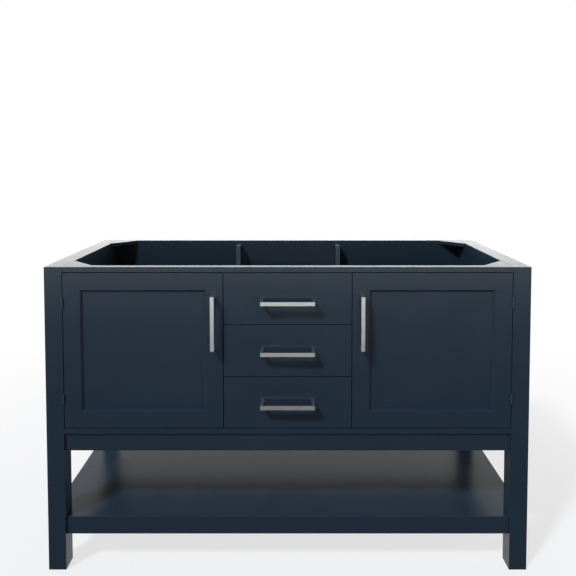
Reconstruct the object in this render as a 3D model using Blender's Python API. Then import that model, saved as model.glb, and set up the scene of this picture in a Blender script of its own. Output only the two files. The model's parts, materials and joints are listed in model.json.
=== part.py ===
"""Bathroom vanity cabinet: four square posts carry a cabinet with two hinged
shaker doors, three drawers between them and an open shelf near the floor.

Frame: +X to the right, the front faces -Y, +Z up. The origin is on the floor,
in the middle of the cabinet's box with its pulls. Lengths are in metres.
"""
import math

import bmesh
import bpy
from mathutils import Matrix, Vector

# Overall size
WIDTH = 1.3716
HEIGHT = 0.8763
DEPTH = 0.5461
PULL_PROJECTION = 0.032
GAP = 0.0003                      # between pieces that touch

# The body's planes: DEPTH counts from the front face of the posts and doors
FRONT_Y = PULL_PROJECTION - (DEPTH + PULL_PROJECTION) / 2
BACK_Y = FRONT_Y + DEPTH
HALF_WIDTH = WIDTH / 2

# Posts, rails and panels
POST = 0.050
INNER_X = HALF_WIDTH - POST       # the posts' inner faces
RAIL_HEIGHT = 0.015
RAIL_DEPTH = 0.025
BACK_THICKNESS = 0.0127
APRON_BOTTOM = 0.347
APRON_RECESS = 0.006
APRON_THICKNESS = 0.018
FLOOR_TOP = 0.4135
FLOOR_BOTTOM = FLOOR_TOP - RAIL_HEIGHT

# Side panels: a thick top rail, a thin field and a bottom rail in one piece
SIDE_TOP_RAIL = 0.095
SIDE_STILE = 0.0485
SIDE_BEVEL = 0.006
SIDE_RECESS = 0.0065
SIDE_FIELD = 0.018

# Partitions beside the drawers
PARTITION_X = 0.182
PARTITION_THICKNESS = 0.016
PARTITION_FRONT = 0.021           # depth of its front edge, behind the doors
PARTITION_TOP = 0.785
EAR_DEPTH = 0.037                 # the rear part that reaches up behind the drawers
EAR_TOP = 0.8613
FRONT_EAR_DEPTH = 0.025           # the front part that carries the top rail

# Corner braces under the countertop
BRACE_LEG = 0.077
BRACE_THICKNESS = 0.012

# Cut-outs for the pipes, one behind each door
CUTOUT_WIDTH = 0.240
CUTOUT_BOTTOM = 0.500
CUTOUT_TOP = 0.720
CUTOUT_X = 0.410

# Open shelf
SHELF_TOP = 0.1531
SHELF_EDGE = 0.051
SHELF_RECESS = 0.006
SHELF_RAIL = 0.018
SHELF_BOARD = 0.016

# Doors and drawer fronts
REVEAL = 0.002                    # gap round every door and drawer front
FRONT_THICKNESS = 0.020
FRONTS_BOTTOM = FLOOR_TOP + REVEAL
FRONTS_TOP = HEIGHT - RAIL_HEIGHT - REVEAL
DOOR_OUTER_X = INNER_X - REVEAL
DOOR_INNER_X = PARTITION_X + REVEAL / 2
DRAWER_HALF_WIDTH = PARTITION_X - REVEAL / 2
DRAWER_COUNT = 3
DRAWER_HEIGHT = (FRONTS_TOP - FRONTS_BOTTOM - (DRAWER_COUNT - 1) * REVEAL) / DRAWER_COUNT

# Door frame section and panel
STILE = 0.0485
STICKING = 0.006                  # 45 degree bevel round the panel
QUIRK = 0.0002
GROOVE_DEPTH = 0.008
PANEL_THICKNESS = 0.0063
PANEL_FACE = STICKING + QUIRK + GAP

# Hinges
HINGE_INSET = 0.084               # hinge centre from the door's end
HINGE_HEIGHT = 0.028
BARREL_RADIUS = 0.0026
PIN_RADIUS = 0.00115
PIN_HOLE_RADIUS = 0.0013
HINGE_FORWARD = BARREL_RADIUS + GAP
HINGE_X = INNER_X - REVEAL / 2
LEAF_THICKNESS = 0.00055
LEAF_DEPTH = 0.018
KNUCKLE_SPLIT = 1 / 3             # share of the barrel that each knuckle takes
ROUND_SIDES = 16

# Drawer boxes and slides
SLIDE_THICKNESS = 0.0126
BOX_WALL = 0.012
BOX_LENGTH = 0.450
BOX_LIFT = 0.012                  # box bottom above the front's lower edge
BOX_HEIGHTS = {"upper": 0.062, "middle": 0.100, "lower": 0.100}
BOTTOM_THICKNESS = 0.006
BOTTOM_LIFT = 0.010
BOTTOM_GROOVE = 0.005
SLIDE_LENGTH = 0.450
SLIDE_LIFT = 0.012                # slide's lower edge above the box's
SLIDE_HEIGHT = 0.038
SLIDE_SHEET = 0.0012
SLIDE_LIP = 0.004
RUNNER_HEIGHT = 0.030
CHANNEL_FRONT = 0.0225            # depth of the fixed channel's front end

# Pulls
PULL_LENGTH = 0.1524
PULL_WIDTH = 0.011
PULL_THICKNESS = 0.0075
PULL_LEG = 0.008
DOOR_PULL_X = 0.2097
DOOR_PULL_Z = 0.7217
PULL_DROPS = {"upper": 0.0075, "middle": 0.0012, "lower": 0.0032}   # below mid-height

SIDES = {"left": -1, "right": 1}


def new_material(name, colour, roughness, metallic=0.0):
    material = bpy.data.materials.new(name)
    material.use_nodes = True
    shader = material.node_tree.nodes["Principled BSDF"]
    shader.inputs["Base Color"].default_value = (*colour, 1.0)
    shader.inputs["Roughness"].default_value = roughness
    shader.inputs["Metallic"].default_value = metallic
    material.diffuse_color = (*colour, 1.0)
    return material


def depth_y(depth):
    """World Y of a depth counted from the front face."""
    return FRONT_Y + depth


def add_object(name, mesh_bm, material, centre, parent=None):
    """Turn a bmesh into a named object placed at its centre."""
    bmesh.ops.recalc_face_normals(mesh_bm, faces=mesh_bm.faces)
    mesh = bpy.data.meshes.new(name)
    mesh_bm.to_mesh(mesh)
    mesh_bm.free()
    mesh.materials.append(material)
    piece = bpy.data.objects.new(name, mesh)
    bpy.context.scene.collection.objects.link(piece)
    place(piece, centre, parent)
    return piece


def place(piece, centre, parent=None):
    """Put a piece at a world position, under its parent if it has one."""
    piece.location = Vector(centre)
    if parent is not None:
        piece.parent = parent
        piece.location = Vector(centre) - parent.location


def add_axis(name, location):
    """An empty on a joint's axis, which carries the pieces that move."""
    axis = bpy.data.objects.new(name, None)
    axis.location = location
    bpy.context.scene.collection.objects.link(axis)
    return axis


def add_board(name, low, high, material, parent=None):
    """A rectangular board between two opposite corners."""
    low, high = Vector(low), Vector(high)
    mesh_bm = bmesh.new()
    bmesh.ops.create_cube(mesh_bm, size=1.0)
    bmesh.ops.scale(mesh_bm, vec=high - low, verts=mesh_bm.verts)
    return add_object(name, mesh_bm, material, (low + high) / 2, parent)


def add_prism(name, outline, along, start, end, material, parent=None, centre=(0, 0, 0)):
    """Extrude a flat outline along X, Y or Z.

    The outline's two coordinates are the remaining axes in X, Y, Z order.
    """
    axis = "XYZ".index(along)
    mesh_bm = bmesh.new()
    corners = []
    for first, second in outline:
        point = [first, second]
        point.insert(axis, start)
        corners.append(mesh_bm.verts.new(Vector(point) - Vector(centre)))
    face = mesh_bm.faces.new(corners)
    swept = bmesh.ops.extrude_face_region(mesh_bm, geom=[face])
    shift = Vector((0, 0, 0))
    shift[axis] = end - start
    moved = [item for item in swept["geom"] if isinstance(item, bmesh.types.BMVert)]
    bmesh.ops.translate(mesh_bm, vec=shift, verts=moved)
    return add_object(name, mesh_bm, material, centre, parent)


def mitred_ring(half_width, half_height, section):
    """Sweep a section round a rectangle, in the XZ plane.

    Each point of the section is its distance in from the rectangle's edge and
    its depth along +Y.
    """
    mesh_bm = bmesh.new()
    corner_signs = [(-1, -1), (1, -1), (1, 1), (-1, 1)]
    loops = []
    for sign_x, sign_z in corner_signs:
        loop = []
        for inward, depth in section:
            x = sign_x * (half_width - inward)
            z = sign_z * (half_height - inward)
            loop.append(mesh_bm.verts.new((x, depth, z)))
        loops.append(loop)
    for index, loop in enumerate(loops):
        following = loops[(index + 1) % len(loops)]
        for point in range(len(section)):
            after = (point + 1) % len(section)
            mesh_bm.faces.new((loop[point], following[point], following[after], loop[after]))
    return mesh_bm


def hide_tool(tool):
    """Keep a Boolean's other shape out of the model."""
    tool.hide_render = True
    tool.display_type = "WIRE"


def combine(piece, tool, operation):
    modifier = piece.modifiers.new(operation.title(), "BOOLEAN")
    modifier.operation = operation
    modifier.object = tool
    hide_tool(tool)


# The fixed cabinet

def make_posts(paint):
    for side, sign in SIDES.items():
        for row, near in (("front", 0.0), ("rear", DEPTH - POST)):
            across = sorted((sign * INNER_X, sign * HALF_WIDTH))
            low = (across[0], depth_y(near), 0.0)
            high = (across[1], depth_y(near + POST), HEIGHT)
            add_board(f"{row}_{side}_post", low, high, paint)


def side_panel_outline(sign):
    """The side's section in X and Z: thick rail above, beveled field below."""
    field_x = HALF_WIDTH - SIDE_RECESS
    inside_x = field_x - SIDE_FIELD
    rail_bottom = HEIGHT - SIDE_STILE
    outline = [
        (INNER_X + GAP, HEIGHT),
        (HALF_WIDTH, HEIGHT),
        (HALF_WIDTH, rail_bottom),
        (field_x, rail_bottom - SIDE_BEVEL),
        (field_x, APRON_BOTTOM + SIDE_STILE + SIDE_BEVEL),
        (HALF_WIDTH, APRON_BOTTOM + SIDE_STILE),
        (HALF_WIDTH, APRON_BOTTOM),
        (inside_x, APRON_BOTTOM),
        (inside_x, HEIGHT - SIDE_TOP_RAIL),
        (INNER_X + GAP, HEIGHT - SIDE_TOP_RAIL),
    ]
    return [(sign * x, z) for x, z in outline]


def make_side_panels(paint):
    start = depth_y(POST + GAP)
    end = depth_y(DEPTH - POST - GAP)
    for side, sign in SIDES.items():
        add_prism(f"{side}_side_panel", side_panel_outline(sign), "Y", start, end, paint)


def make_back_panel(paint):
    half = INNER_X - GAP
    low = (-half, BACK_Y - BACK_THICKNESS, APRON_BOTTOM)
    panel = add_board("back_panel", low, (half, BACK_Y, HEIGHT), paint)
    for side, sign in SIDES.items():
        centre_x = sign * CUTOUT_X
        low = (centre_x - CUTOUT_WIDTH / 2, BACK_Y - 2 * BACK_THICKNESS, CUTOUT_BOTTOM)
        high = (centre_x + CUTOUT_WIDTH / 2, BACK_Y + BACK_THICKNESS, CUTOUT_TOP)
        cutter = add_board(f"{side}_pipe_cutter", low, high, paint)
        combine(panel, cutter, "DIFFERENCE")


def notched_outline(half_inner, half_outer, front, rear, margin):
    """A board's plan: narrow between the posts, wider beside them."""
    right = [
        (half_inner, front),
        (half_inner, depth_y(POST) + margin),
        (half_outer, depth_y(POST) + margin),
        (half_outer, depth_y(DEPTH - POST) - margin),
        (half_inner, depth_y(DEPTH - POST) - margin),
        (half_inner, rear),
    ]
    left = [(-x, y) for x, y in reversed(right)]
    return right + left


def make_cabinet_floor(paint):
    wall_x = HALF_WIDTH - SIDE_RECESS - SIDE_FIELD - GAP
    front = depth_y(RAIL_DEPTH + GAP)
    rear = BACK_Y - BACK_THICKNESS - GAP
    outline = notched_outline(INNER_X - GAP, wall_x, front, rear, GAP)
    add_prism("cabinet_floor", outline, "Z", FLOOR_BOTTOM, FLOOR_TOP, paint)


def make_partitions(paint):
    bottom = FLOOR_TOP + GAP
    front = depth_y(PARTITION_FRONT)
    rear = BACK_Y - BACK_THICKNESS - GAP
    outline = [
        (front, bottom),
        (rear, bottom),
        (rear, EAR_TOP),
        (rear - EAR_DEPTH, EAR_TOP),
        (rear - EAR_DEPTH, PARTITION_TOP),
        (front + FRONT_EAR_DEPTH, PARTITION_TOP),
        (front + FRONT_EAR_DEPTH, EAR_TOP - GAP),
        (front, EAR_TOP - GAP),
    ]
    for side, sign in SIDES.items():
        start = sign * PARTITION_X - PARTITION_THICKNESS / 2
        add_prism(f"{side}_partition", outline, "X", start, start + PARTITION_THICKNESS, paint)


def make_front_rails(paint):
    half = INNER_X - GAP
    back = depth_y(RAIL_DEPTH)
    add_board("top_front_rail", (-half, FRONT_Y, HEIGHT - RAIL_HEIGHT), (half, back, HEIGHT), paint)
    add_board("bottom_front_rail", (-half, FRONT_Y, FLOOR_BOTTOM), (half, back, FLOOR_TOP), paint)
    low = (-half, depth_y(APRON_RECESS), APRON_BOTTOM)
    high = (half, depth_y(APRON_RECESS + APRON_THICKNESS), FLOOR_BOTTOM - GAP)
    add_board("front_apron", low, high, paint)


def make_braces(paint):
    corner_x = INNER_X - GAP
    rows = {
        "front": (depth_y(RAIL_DEPTH + GAP), 1),
        "rear": (BACK_Y - BACK_THICKNESS - GAP, -1),
    }
    for row, (corner_y, inward) in rows.items():
        for side, sign in SIDES.items():
            outline = [
                (sign * corner_x, corner_y),
                (sign * (corner_x - BRACE_LEG), corner_y),
                (sign * corner_x, corner_y + inward * BRACE_LEG),
            ]
            name = f"{row}_{side}_brace"
            add_prism(name, outline, "Z", HEIGHT - BRACE_THICKNESS, HEIGHT, paint)


def make_shelf(paint):
    bottom = SHELF_TOP - SHELF_EDGE
    half = INNER_X - GAP
    rows = {"front": SHELF_RECESS, "rear": DEPTH - SHELF_RECESS - SHELF_RAIL}
    for row, near in rows.items():
        low = (-half, depth_y(near), bottom)
        high = (half, depth_y(near + SHELF_RAIL), SHELF_TOP)
        add_board(f"shelf_{row}_rail", low, high, paint)
    for side, sign in SIDES.items():
        across = sorted((sign * (HALF_WIDTH - SHELF_RAIL), sign * HALF_WIDTH))
        low = (across[0], depth_y(POST + GAP), bottom)
        high = (across[1], depth_y(DEPTH - POST - GAP), SHELF_TOP)
        add_board(f"shelf_{side}_rail", low, high, paint)
    edge = SHELF_RECESS + SHELF_RAIL + GAP
    outer = HALF_WIDTH - SHELF_RAIL - GAP
    outline = notched_outline(half, outer, depth_y(edge), depth_y(DEPTH - edge), GAP)
    add_prism("shelf_board", outline, "Z", SHELF_TOP - SHELF_BOARD, SHELF_TOP, paint)


# Pulls

def make_pull(name, centre_x, centre_z, upright, material, parent):
    """A square bar with a leg at each end, standing off the front face."""
    front = FRONT_Y - PULL_PROJECTION
    back = front + PULL_THICKNESS
    foot = FRONT_Y - GAP
    outer = PULL_LENGTH / 2
    inner = outer - PULL_LEG
    outline = [
        (-outer, foot), (-outer, front), (outer, front), (outer, foot),
        (inner, foot), (inner, back), (-inner, back), (-inner, foot),
    ]
    if upright:
        axis = "X"
        across = centre_x
        outline = [(depth, centre_z + along) for along, depth in outline]
    else:
        axis = "Z"
        across = centre_z
        outline = [(centre_x + along, depth) for along, depth in outline]
    centre = (centre_x, (front + foot) / 2, centre_z)
    add_prism(name, outline, axis, across - PULL_WIDTH / 2, across + PULL_WIDTH / 2, material,
              parent, centre)


# Hinges

def round_bar(radius, bottom, top):
    """A closed cylinder on the Z axis."""
    mesh_bm = bmesh.new()
    turn = Matrix.Translation((0, 0, (bottom + top) / 2))
    bmesh.ops.create_cone(mesh_bm, cap_ends=True, segments=ROUND_SIDES, radius1=radius,
                          radius2=radius, depth=top - bottom, matrix=turn)
    return mesh_bm


def knuckle_span(position):
    """Lowest and highest point of a knuckle: 0 at the bottom, 2 at the top."""
    share = HINGE_HEIGHT * KNUCKLE_SPLIT
    bottom = -HINGE_HEIGHT / 2 + position * share
    return bottom + GAP / 2, bottom + share - GAP / 2


def plate_reach():
    """Front and rear of a leaf's flat plate."""
    return FRONT_Y + GAP, FRONT_Y + LEAF_DEPTH


def neck_reach(centre):
    """Front and rear of the neck that runs from the plate into its knuckle."""
    return centre[1] + (PIN_HOLE_RADIUS + BARREL_RADIUS) / 2, FRONT_Y + 2 * GAP


def add_leaf_strip(name, sign, door_side, reach, span, material, centre, parent):
    """Sheet metal in the gap, on the door's side or on the post's side."""
    towards = -sign if door_side else sign
    near = towards * GAP / 2
    far = towards * (GAP / 2 + LEAF_THICKNESS)
    across = sorted((centre[0] + near, centre[0] + far))
    low = (across[0], reach[0], centre[2] + span[0])
    high = (across[1], reach[1], centre[2] + span[1])
    return add_board(name, low, high, material, parent)


def make_frame_leaf(name, sign, centre, material):
    """The leaf on the post, with two knuckles and the pin between them."""
    full = (-HINGE_HEIGHT / 2, HINGE_HEIGHT / 2)
    leaf = add_leaf_strip(name, sign, False, plate_reach(), full, material, centre, None)
    pin_bm = round_bar(PIN_RADIUS, *full)
    pin = add_object(f"{name}_pin", pin_bm, material, centre)
    for index in (0, 2):
        span = knuckle_span(index)
        knuckle_bm = round_bar(BARREL_RADIUS, *span)
        knuckle = add_object(f"{name}_knuckle_{index}", knuckle_bm, material, centre)
        neck = add_leaf_strip(f"{name}_neck_{index}", sign, False, neck_reach(centre), span,
                              material, centre, None)
        combine(leaf, neck, "UNION")
        combine(leaf, knuckle, "UNION")
    combine(leaf, pin, "UNION")


def make_door_leaf(name, sign, centre, material, parent):
    """The leaf on the door, with the middle knuckle, which turns on the pin."""
    full = (-HINGE_HEIGHT / 2, HINGE_HEIGHT / 2)
    leaf = add_leaf_strip(name, sign, True, plate_reach(), full, material, centre, parent)
    span = knuckle_span(1)
    knuckle = add_object(f"{name}_knuckle", round_bar(BARREL_RADIUS, *span), material, centre, parent)
    neck = add_leaf_strip(f"{name}_neck", sign, True, neck_reach(centre), span, material, centre,
                          parent)
    hole_bm = round_bar(PIN_HOLE_RADIUS, 2 * span[0], 2 * span[1])
    hole = add_object(f"{name}_hole", hole_bm, material, centre, parent)
    combine(leaf, neck, "UNION")
    combine(leaf, knuckle, "UNION")
    combine(leaf, hole, "DIFFERENCE")


def make_hinges(side, sign, door_axis, material):
    heights = {"upper": FRONTS_TOP - HINGE_INSET, "lower": FRONTS_BOTTOM + HINGE_INSET}
    for level, height in heights.items():
        centre = (sign * HINGE_X, FRONT_Y - HINGE_FORWARD, height)
        make_frame_leaf(f"{side}_{level}_hinge_frame_leaf", sign, centre, material)
        make_door_leaf(f"{side}_{level}_hinge_door_leaf", sign, centre, material, door_axis)


# Doors

def door_section():
    """The frame's section: beveled front edge, groove for the panel, back lip."""
    inner = STILE + STICKING
    groove_end = inner - GROOVE_DEPTH
    groove_back = PANEL_FACE + PANEL_THICKNESS + GAP
    return [
        (0.0, 0.0),
        (STILE, 0.0),
        (inner, STICKING),
        (inner, STICKING + QUIRK),
        (groove_end, STICKING + QUIRK),
        (groove_end, groove_back),
        (inner, groove_back),
        (inner, FRONT_THICKNESS),
        (0.0, FRONT_THICKNESS),
    ]


def make_door(side, sign, paint, nickel, hinge_metal):
    centre_x = sign * (DOOR_INNER_X + DOOR_OUTER_X) / 2
    centre_z = (FRONTS_BOTTOM + FRONTS_TOP) / 2
    half_width = (DOOR_OUTER_X - DOOR_INNER_X) / 2
    half_height = (FRONTS_TOP - FRONTS_BOTTOM) / 2
    hinge = (sign * HINGE_X, FRONT_Y - HINGE_FORWARD, centre_z)
    door_axis = add_axis(f"{side}_door_axis", hinge)
    frame_bm = mitred_ring(half_width, half_height, door_section())
    add_object(f"{side}_door_frame", frame_bm, paint, (centre_x, FRONT_Y, centre_z), door_axis)
    inset = STILE + STICKING - GROOVE_DEPTH + GAP
    low = (centre_x - half_width + inset, FRONT_Y + PANEL_FACE, FRONTS_BOTTOM + inset)
    high = (centre_x + half_width - inset, low[1] + PANEL_THICKNESS, FRONTS_TOP - inset)
    add_board(f"{side}_door_panel", low, high, paint, door_axis)
    make_pull(f"{side}_door_pull", sign * DOOR_PULL_X, DOOR_PULL_Z, True, nickel, door_axis)
    make_hinges(side, sign, door_axis, hinge_metal)


# Drawers

def drawer_box_section(box_height):
    """The box wall's section: inward distance and height, with a bottom groove."""
    groove_low = BOTTOM_LIFT
    groove_high = BOTTOM_LIFT + BOTTOM_THICKNESS + 2 * GAP
    groove_in = BOX_WALL - BOTTOM_GROOVE
    return [
        (0.0, 0.0),
        (BOX_WALL, 0.0),
        (BOX_WALL, groove_low),
        (groove_in, groove_low),
        (groove_in, groove_high),
        (BOX_WALL, groove_high),
        (BOX_WALL, box_height),
        (0.0, box_height),
    ]


def box_half_width():
    return PARTITION_X - PARTITION_THICKNESS / 2 - SLIDE_THICKNESS - GAP


def make_drawer_box(level, bottom_z, wood, parent):
    half_width = box_half_width()
    front = depth_y(FRONT_THICKNESS + GAP)
    centre_y = front + BOX_LENGTH / 2
    ring_bm = mitred_ring(half_width, BOX_LENGTH / 2, drawer_box_section(BOX_HEIGHTS[level]))
    quarter_turn = Matrix.Rotation(math.radians(90), 3, "X")
    bmesh.ops.rotate(ring_bm, cent=(0, 0, 0), matrix=quarter_turn, verts=ring_bm.verts)
    add_object(f"{level}_drawer_box", ring_bm, wood, (0, centre_y, bottom_z), parent)
    inset = BOX_WALL - BOTTOM_GROOVE + GAP
    half_bottom = half_width - inset
    low = (-half_bottom, front + inset, bottom_z + BOTTOM_LIFT + GAP)
    high = (half_bottom, front + BOX_LENGTH - inset, low[2] + BOTTOM_THICKNESS)
    add_board(f"{level}_drawer_bottom", low, high, wood, parent)


def channel_outline(sign, wall_x, bottom_z):
    """Fixed slide member: a C open towards the drawer, in X and Z."""
    top_z = bottom_z + SLIDE_HEIGHT
    web = wall_x - SLIDE_SHEET
    lip = web - SLIDE_LIP
    outline = [
        (wall_x, bottom_z),
        (lip, bottom_z),
        (lip, bottom_z + SLIDE_SHEET),
        (web, bottom_z + SLIDE_SHEET),
        (web, top_z - SLIDE_SHEET),
        (lip, top_z - SLIDE_SHEET),
        (lip, top_z),
        (wall_x, top_z),
    ]
    return [(sign * x, z) for x, z in outline]


def runner_outline(sign, box_x, bottom_z):
    """Moving slide member: a U on the box whose flanges run in the channel."""
    low_z = bottom_z + (SLIDE_HEIGHT - RUNNER_HEIGHT) / 2
    high_z = low_z + RUNNER_HEIGHT
    web = box_x + SLIDE_SHEET
    tip = box_x + SLIDE_THICKNESS - SLIDE_SHEET - 2 * GAP
    outline = [
        (box_x, low_z),
        (tip, low_z),
        (tip, low_z + SLIDE_SHEET),
        (web, low_z + SLIDE_SHEET),
        (web, high_z - SLIDE_SHEET),
        (tip, high_z - SLIDE_SHEET),
        (tip, high_z),
        (box_x, high_z),
    ]
    return [(sign * x, z) for x, z in outline]


def make_slides(level, slide_z, steel, parent):
    wall_x = PARTITION_X - PARTITION_THICKNESS / 2 - GAP
    box_x = box_half_width() + GAP
    channel_start = depth_y(CHANNEL_FRONT)
    runner_start = depth_y(FRONT_THICKNESS + 2 * GAP)
    for side, sign in SIDES.items():
        outline = channel_outline(sign, wall_x, slide_z)
        name = f"{level}_{side}_slide_channel"
        add_prism(name, outline, "Y", channel_start, channel_start + SLIDE_LENGTH, steel)
        outline = runner_outline(sign, box_x, slide_z)
        name = f"{level}_drawer_{side}_runner"
        centre = (sign * box_x, runner_start, slide_z)
        add_prism(name, outline, "Y", runner_start, runner_start + SLIDE_LENGTH, steel,
                  parent, centre)


def make_drawer(level, index, paint, wood, nickel, steel):
    front_z = FRONTS_BOTTOM + index * (DRAWER_HEIGHT + REVEAL)
    middle_z = front_z + DRAWER_HEIGHT / 2
    drawer_axis = add_axis(f"{level}_drawer_axis", (0, FRONT_Y, middle_z))
    low = (-DRAWER_HALF_WIDTH, FRONT_Y, front_z)
    high = (DRAWER_HALF_WIDTH, depth_y(FRONT_THICKNESS), front_z + DRAWER_HEIGHT)
    add_board(f"{level}_drawer_front", low, high, paint, drawer_axis)
    make_drawer_box(level, front_z + BOX_LIFT, wood, drawer_axis)
    make_slides(level, front_z + BOX_LIFT + SLIDE_LIFT, steel, drawer_axis)
    pull_z = middle_z - PULL_DROPS[level]
    make_pull(f"{level}_drawer_pull", 0.0, pull_z, False, nickel, drawer_axis)


def main():
    for old in list(bpy.data.objects):
        bpy.data.objects.remove(old)
    paint = new_material("navy_paint", (0.022, 0.032, 0.050), 0.35)
    wood = new_material("birch_plywood", (0.62, 0.47, 0.30), 0.55)
    nickel = new_material("satin_nickel", (0.62, 0.61, 0.59), 0.32, 1.0)
    steel = new_material("zinc_steel", (0.55, 0.56, 0.57), 0.38, 1.0)
    hinge_metal = new_material("dark_hinge", (0.034, 0.056, 0.078), 0.35)
    make_posts(paint)
    make_side_panels(paint)
    make_back_panel(paint)
    make_cabinet_floor(paint)
    make_partitions(paint)
    make_front_rails(paint)
    make_braces(paint)
    make_shelf(paint)
    for side, sign in SIDES.items():
        make_door(side, sign, paint, nickel, hinge_metal)
    for index, level in enumerate(("lower", "middle", "upper")):
        make_drawer(level, index, paint, wood, nickel, steel)


main()
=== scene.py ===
"""Looks of the bathroom vanity cabinet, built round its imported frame.

Painted boards get soft edges and a sprayed finish, the drawer boxes get finger
joints and wood grain, and the pulls, hinges, slides and screws get their metal.
"""
import json
import math

import bmesh
import bpy
from mathutils import Matrix, Vector


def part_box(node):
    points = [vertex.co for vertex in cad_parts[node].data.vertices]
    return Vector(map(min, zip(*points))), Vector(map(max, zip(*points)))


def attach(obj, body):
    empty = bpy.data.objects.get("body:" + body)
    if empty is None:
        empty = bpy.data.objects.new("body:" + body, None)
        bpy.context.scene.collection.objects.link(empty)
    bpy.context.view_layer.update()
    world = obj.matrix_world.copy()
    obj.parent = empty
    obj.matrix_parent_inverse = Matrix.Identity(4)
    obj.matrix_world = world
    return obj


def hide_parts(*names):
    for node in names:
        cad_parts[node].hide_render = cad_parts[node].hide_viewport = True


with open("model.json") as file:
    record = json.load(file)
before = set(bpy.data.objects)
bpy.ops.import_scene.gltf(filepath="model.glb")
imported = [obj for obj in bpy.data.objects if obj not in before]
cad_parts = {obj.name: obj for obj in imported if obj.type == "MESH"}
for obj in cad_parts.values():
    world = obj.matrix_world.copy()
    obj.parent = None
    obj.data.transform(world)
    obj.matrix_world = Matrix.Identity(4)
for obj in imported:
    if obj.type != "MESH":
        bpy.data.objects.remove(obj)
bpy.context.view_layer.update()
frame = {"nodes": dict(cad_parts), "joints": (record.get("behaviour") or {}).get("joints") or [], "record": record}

# Directions, names and units
X_AXIS, Y_AXIS, Z_AXIS = Vector((1, 0, 0)), Vector((0, 1, 0)), Vector((0, 0, 1))
SIDES = {"left": -1, "right": 1}
LEVELS = ("upper", "middle", "lower")
MM = 0.001

# Edge radii
FRAME_EDGE = 0.4 * MM
SHELF_EDGE = 0.8 * MM
PARTITION_EDGE = 0.6 * MM
DOOR_EDGE = 0.7 * MM
STICKING_EDGE = 0.9 * MM
LIP_EDGE = 0.3 * MM
THIN_EDGE = 0.2 * MM              # door panels, drawer bottoms and slides
BOX_EDGE = 0.25 * MM
PULL_EDGE = 0.45 * MM
EDGE_SEGMENTS = 3
FLAT_ANGLE = math.radians(1)      # what turns by less than this is one flat
BEVEL_ANGLE = math.radians(28)    # what turns by more than this is rounded
SHARP_ANGLE = math.radians(30)    # what turns by more than this is shaded sharp
TURNED_ANGLE = math.radians(35)   # the same for screws and rollers

# Clearances
TOUCH = 0.05 * MM                 # clearance of a piece that rests on another
MERGE = 0.02 * MM                 # corners nearer than this are one corner

# Shared by several pieces
BOX_WALL = 12 * MM                # thickness of the drawer boxes' walls
ROUND_SEGMENTS = 32               # of barrels and rollers

# Camera: where the viewer stands, and the lens
CAMERA_FORWARD = 1.629            # in front of the posts' face
CAMERA_HEIGHT = 1.180             # above the floor
CAMERA_RIGHT = 0.006              # of the cabinet's middle
CAMERA_LENS = 36.5
SENSOR_WIDTH = 36.0
CAMERA_PITCH = math.radians(2.5)
CAMERA_SHIFT = -0.18
CAMERA_SIDE_SHIFT = -0.003

# Light
KEY_TRAVEL = Vector((0.88, 1.0, -1.36))   # the way the key light shines
KEY_STRENGTH = 2.10
KEY_ANGLE = math.radians(7.0)
KEY_COLOUR = (0.95, 0.99, 1.10)
SOFTBOX_DISTANCE = 4.5            # in front of the posts' face
SOFTBOX_WIDTH, SOFTBOX_HEIGHT = 9.0, 4.5
SOFTBOX_RADIANCE = 1.1
BACKDROP = (1.0, 1.0, 1.0)
FLOOR_BOUNCE = 0.70               # what the floor gives back to the cabinet
FLOOR_WHITE = 0.95                # its own tone where it is seen
FLOOR_GLOW = 0.72                 # how far the floor is lifted towards white
FADE_START, FADE_END = 0.6, 2.6   # distances at which it fades into the backdrop
FLOOR_RADIUS = 60.0
FLOOR_DROP = 0.2 * MM


# Node helpers

def start_material(name):
    """A material with its node tree, its shader and object coordinates."""
    material = bpy.data.materials.new(name)
    material.use_nodes = True
    tree = material.node_tree
    shader = tree.nodes["Principled BSDF"]
    coordinates = tree.nodes.new("ShaderNodeTexCoord")
    return material, tree, shader, coordinates.outputs["Object"]


def stretch(tree, vector, scale):
    """Coordinates multiplied along each axis."""
    mapping = tree.nodes.new("ShaderNodeMapping")
    mapping.inputs["Scale"].default_value = scale
    tree.links.new(vector, mapping.inputs["Vector"])
    return mapping.outputs["Vector"]


def noise(tree, vector, scale, detail=2.0, roughness=0.5):
    node = tree.nodes.new("ShaderNodeTexNoise")
    node.inputs["Scale"].default_value = scale
    node.inputs["Detail"].default_value = detail
    node.inputs["Roughness"].default_value = roughness
    tree.links.new(vector, node.inputs["Vector"])
    return node.outputs["Fac"]


def value_range(tree, value, low, high, start=0.3, end=0.7):
    """Map a noise value onto a range."""
    node = tree.nodes.new("ShaderNodeMapRange")
    node.inputs["From Min"].default_value = start
    node.inputs["From Max"].default_value = end
    node.inputs["To Min"].default_value = low
    node.inputs["To Max"].default_value = high
    tree.links.new(value, node.inputs["Value"])
    return node.outputs["Result"]


def colour_ramp(tree, value, stops):
    node = tree.nodes.new("ShaderNodeValToRGB")
    ramp = node.color_ramp
    while len(ramp.elements) < len(stops):
        ramp.elements.new(1.0)
    for element, (position, colour) in zip(ramp.elements, stops):
        element.position = position
        element.color = (*colour, 1.0)
    tree.links.new(value, node.inputs["Fac"])
    return node.outputs["Color"]


def add_bump(tree, shader, layers):
    """Stack bumps: each layer is a height, its strength and its depth in metres."""
    normal = None
    for height, strength, distance in layers:
        node = tree.nodes.new("ShaderNodeBump")
        node.inputs["Strength"].default_value = strength
        node.inputs["Distance"].default_value = distance
        tree.links.new(height, node.inputs["Height"])
        if normal is not None:
            tree.links.new(normal, node.inputs["Normal"])
        normal = node.outputs["Normal"]
    tree.links.new(normal, shader.inputs["Normal"])


# Materials

PAINT_DARK = (0.0182, 0.0362, 0.0565)
PAINT_LIGHT = (0.0202, 0.0392, 0.0605)


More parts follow.
